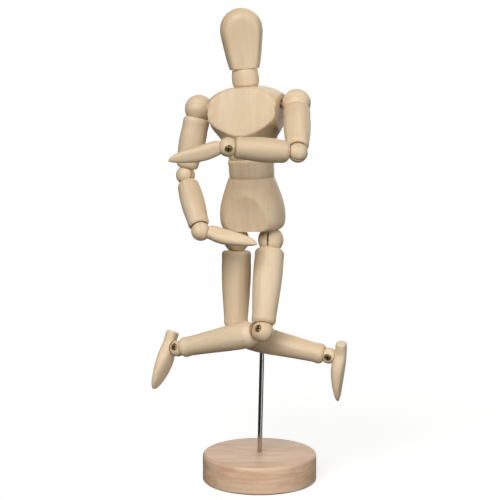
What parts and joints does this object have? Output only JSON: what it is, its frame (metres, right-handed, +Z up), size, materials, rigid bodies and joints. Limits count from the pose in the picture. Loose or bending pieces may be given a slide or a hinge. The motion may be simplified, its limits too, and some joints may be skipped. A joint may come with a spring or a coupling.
{
  "type": "artist mannequin",
  "caption": "Jointed wooden artist's figure with a plain egg head, ball joints held by cross screws and springs, posed running on a steel rod in a round wooden base.",
  "frame": {"origin": "centre of the base's flat underside", "axes": "+Z up, -Y towards the figure's front, +X towards the figure's left side"},
  "size_m": [0.1247, 0.1014, 0.3083],
  "materials": {
    "limewood": "fine pale straight-grained wood, sanded and sealed to a soft satin",
    "beech": "pinkish wood with short streaks, satin",
    "rod_steel": "drawn bright steel",
    "screw_steel": "yellow-passivated cross-head screw",
    "spring_steel": "bright spring wire"
  },
  "bodies": {
    "base": {"base": "beech", "rod": "rod_steel"},
    "pelvis": {"pelvis": "limewood", "left_hip_spring": "spring_steel", "right_hip_spring": "spring_steel"},
    "spine_spring": {"spine_spring": "spring_steel"},
    "waist": {"waist": "limewood"},
    "chest": {"chest": "limewood", "shoulder_spring": "spring_steel"},
    "neck_spring": {"neck_spring": "spring_steel"},
    "neck": {"neck": "limewood"},
    "head": {"head": "limewood"},
    "left_shoulder": {"left_shoulder_ball": "limewood", "left_shoulder_screw": "screw_steel"},
    "left_upper_arm": {"left_upper_arm": "limewood", "left_elbow_spring": "spring_steel"},
    "left_elbow": {"left_elbow_ball": "limewood", "left_elbow_screw": "screw_steel"},
    "left_forearm": {"left_forearm": "limewood", "left_wrist_spring": "spring_steel"},
    "left_wrist": {"left_wrist_ball": "limewood", "left_wrist_screw": "screw_steel"},
    "left_hand": {"left_hand": "limewood"},
    "left_hip": {"left_hip_ball": "limewood", "left_hip_screw": "screw_steel"},
    "left_thigh": {"left_thigh": "limewood", "left_knee_spring": "spring_steel"},
    "left_knee": {"left_knee_ball": "limewood", "left_knee_screw": "screw_steel"},
    "left_shin": {"left_shin": "limewood", "left_ankle_spring": "spring_steel"},
    "left_ankle": {"left_ankle_ball": "limewood", "left_ankle_screw": "screw_steel"},
    "left_foot": {"left_foot": "limewood"},
    "right_shoulder": {"right_shoulder_ball": "limewood", "right_shoulder_screw": "screw_steel"},
    "right_upper_arm": {"right_upper_arm": "limewood", "right_elbow_spring": "spring_steel"},
    "right_elbow": {"right_elbow_ball": "limewood", "right_elbow_screw": "screw_steel"},
    "right_forearm": {"right_forearm": "limewood", "right_wrist_spring": "spring_steel"},
    "right_wrist": {"right_wrist_ball": "limewood", "right_wrist_screw": "screw_steel"},
    "right_hand": {"right_hand": "limewood"},
    "right_hip": {"right_hip_ball": "limewood", "right_hip_screw": "screw_steel"},
    "right_thigh": {"right_thigh": "limewood", "right_knee_spring": "spring_steel"},
    "right_knee": {"right_knee_ball": "limewood", "right_knee_screw": "screw_steel"},
    "right_shin": {"right_shin": "limewood", "right_ankle_spring": "spring_steel"},
    "right_ankle": {"right_ankle_ball": "limewood", "right_ankle_screw": "screw_steel"},
    "right_foot": {"right_foot": "limewood"}
  },
  "joints": [
    {"name": "figure_swivel", "type": "hinge", "parent": "base", "child": "pelvis", "pos_m": [0.00346, 0, 0.1686], "axis": [0.023, 0, 0.9997], "continuous": true},
    {"name": "waist_lean", "type": "hinge", "parent": "pelvis", "child": "spine_spring", "pos_m": [-0.0057, -0.0131, 0.21297], "axis": [0.2588, 0.9659, 0], "range_deg": [-15, 15], "deforming": ["spine_spring"]},
    {"name": "waist_bend", "type": "hinge", "parent": "spine_spring", "child": "waist", "pos_m": [-0.0057, -0.0131, 0.21297], "axis": [-0.9636, 0.2582, -0.0698], "range_deg": [-15, 20]},
    {"name": "chest_turn", "type": "hinge", "parent": "waist", "child": "chest", "pos_m": [-0.00576, -0.01308, 0.21392], "axis": [-0.0674, 0.0181, 0.9976], "range_deg": [-60, 60]},
    {"name": "neck_lean", "type": "hinge", "parent": "chest", "child": "neck_spring", "pos_m": [-0.00922, -0.01215, 0.2652], "axis": [-0.2588, -0.9659, 0], "range_deg": [-15, 15], "deforming": ["neck_spring"]},
    {"name": "neck_nod", "type": "hinge", "parent": "neck_spring", "child": "neck", "pos_m": [-0.00922, -0.01215, 0.2652], "axis": [-0.9623, 0.2578, -0.0872], "range_deg": [-15, 15]},
    {"name": "head_turn", "type": "hinge", "parent": "neck", "child": "head", "pos_m": [-0.00963, -0.01204, 0.27003], "axis": [0.0842, -0.0226, -0.9962], "continuous": true},
    {"name": "left_shoulder_twist", "type": "hinge", "parent": "chest", "child": "left_shoulder", "pos_m": [0.02285, -0.02075, 0.24907], "axis": [-0.9636, 0.2582, -0.0698], "range_deg": [-35, 95]},
    {"name": "left_shoulder_bend", "type": "hinge", "parent": "left_shoulder", "child": "left_upper_arm", "pos_m": [0.02285, -0.02075, 0.24907], "axis": [-0.2254, -0.6436, 0.7314], "range_deg": [-15, 173]},
    {"name": "left_elbow_twist", "type": "hinge", "parent": "left_upper_arm", "child": "left_elbow", "pos_m": [0.02285, -0.05303, 0.22067], "axis": [0, -0.7507, -0.6606], "range_deg": [-150, 30]},
    {"name": "left_elbow_bend", "type": "hinge", "parent": "left_elbow", "child": "left_forearm", "pos_m": [0.02285, -0.05303, 0.22067], "axis": [0.1467, -0.6535, 0.7426], "range_deg": [0, 176]},
    {"name": "left_wrist_twist", "type": "hinge", "parent": "left_forearm", "child": "left_wrist", "pos_m": [-0.01966, -0.05818, 0.22453], "axis": [-0.9887, -0.1198, 0.0899], "continuous": true},
    {"name": "left_wrist_bend", "type": "hinge", "parent": "left_wrist", "child": "left_hand", "pos_m": [-0.01966, -0.05818, 0.22453], "axis": [0.1053, -0.9828, -0.1517], "range_deg": [-100, 78]},
    {"name": "left_hip_twist", "type": "hinge", "parent": "pelvis", "child": "left_hip", "pos_m": [0.00694, -0.01648, 0.1621], "axis": [-0.0337, 0.009, 0.9994], "range_deg": [-9, 106]},
    {"name": "left_hip_bend", "type": "hinge", "parent": "left_hip", "child": "left_thigh", "pos_m": [0.00694, -0.01648, 0.1621], "axis": [0.965, -0.26, 0.0349], "range_deg": [-45, 2]},
    {"name": "left_knee_twist", "type": "hinge", "parent": "left_thigh", "child": "left_knee", "pos_m": [0.00169, -0.04321, 0.10807], "axis": [0.0867, 0.4417, 0.893], "range_deg": [-9, 150]},
    {"name": "left_knee_bend", "type": "hinge", "parent": "left_knee", "child": "left_shin", "pos_m": [0.00169, -0.04321, 0.10807], "axis": [-0.4778, -0.7681, 0.4263], "range_deg": [-2, 162]},
    {"name": "left_ankle_twist", "type": "hinge", "parent": "left_shin", "child": "left_ankle", "pos_m": [-0.05274, -0.01832, 0.0919], "axis": [-0.878, 0.4014, -0.2609], "continuous": true},
    {"name": "left_ankle_bend", "type": "hinge", "parent": "left_ankle", "child": "left_foot", "pos_m": [-0.05274, -0.01832, 0.0919], "axis": [0.4752, 0.7966, -0.3736], "range_deg": [-75, 40]},
    {"name": "right_shoulder_twist", "type": "hinge", "parent": "chest", "child": "right_shoulder", "pos_m": [-0.03882, -0.00422, 0.24461], "axis": [-0.9636, 0.2582, -0.0698], "range_deg": [-9, 35]},
    {"name": "right_shoulder_bend", "type": "hinge", "parent": "right_shoulder", "child": "right_upper_arm", "pos_m": [-0.03882, -0.00422, 0.24461], "axis": [-0.2666, -0.9483, 0.1723], "range_deg": [-171, 10]},
    {"name": "right_elbow_twist", "type": "hinge", "parent": "right_upper_arm", "child": "right_elbow", "pos_m": [-0.04744, -0.0094, 0.2028], "axis": [0.2005, 0.1203, 0.9723], "range_deg": [-150, 14]},
    {"name": "right_elbow_bend", "type": "hinge", "parent": "right_elbow", "child": "right_forearm", "pos_m": [-0.04744, -0.0094, 0.2028], "axis": [-0.7655, -0.6002, 0.2321], "range_deg": [-127, 47]},
    {"name": "right_wrist_twist", "type": "hinge", "parent": "right_forearm", "child": "right_wrist", "pos_m": [-0.03709, -0.03526, 0.17004], "axis": [0.2406, -0.6014, -0.7618], "continuous": true},
    {"name": "right_wrist_bend", "type": "hinge", "parent": "right_wrist", "child": "right_hand", "pos_m": [-0.03709, -0.03526, 0.17004], "axis": [-0.0961, -0.7958, 0.5979], "range_deg": [-156, 24]},
    {"name": "right_hip_twist", "type": "hinge", "parent": "pelvis", "child": "right_hip", "pos_m": [-0.01488, -0.01064, 0.16131], "axis": [0.0337, -0.009, -0.9994], "range_deg": [-29, 25]},
    {"name": "right_hip_bend", "type": "hinge", "parent": "right_hip", "child": "right_thigh", "pos_m": [-0.01488, -0.01064, 0.16131], "axis": [-0.7773, 0.6284, -0.0319], "range_deg": [-6, 2]},
    {"name": "right_knee_twist", "type": "hinge", "parent": "right_thigh", "child": "right_knee", "pos_m": [-0.01539, -0.01434, 0.10093], "axis": [0.0085, 0.0611, 0.9981], "range_deg": [-22, 25]},
    {"name": "right_knee_bend", "type": "hinge", "parent": "right_knee", "child": "right_shin", "pos_m": [-0.01539, -0.01434, 0.10093], "axis": [0.2224, 0.973, -0.0615], "range_deg": [-2, 134]},
    {"name": "right_ankle_twist", "type": "hinge", "parent": "right_shin", "child": "right_ankle", "pos_m": [0.04385, -0.0286, 0.08945], "axis": [-0.9554, 0.2301, 0.1851], "continuous": true},
    {"name": "right_ankle_bend", "type": "hinge", "parent": "right_ankle", "child": "right_foot", "pos_m": [0.04385, -0.0286, 0.08945], "axis": [-0.2514, -0.9626, -0.1013], "range_deg": [-57, 60]}
  ]
}
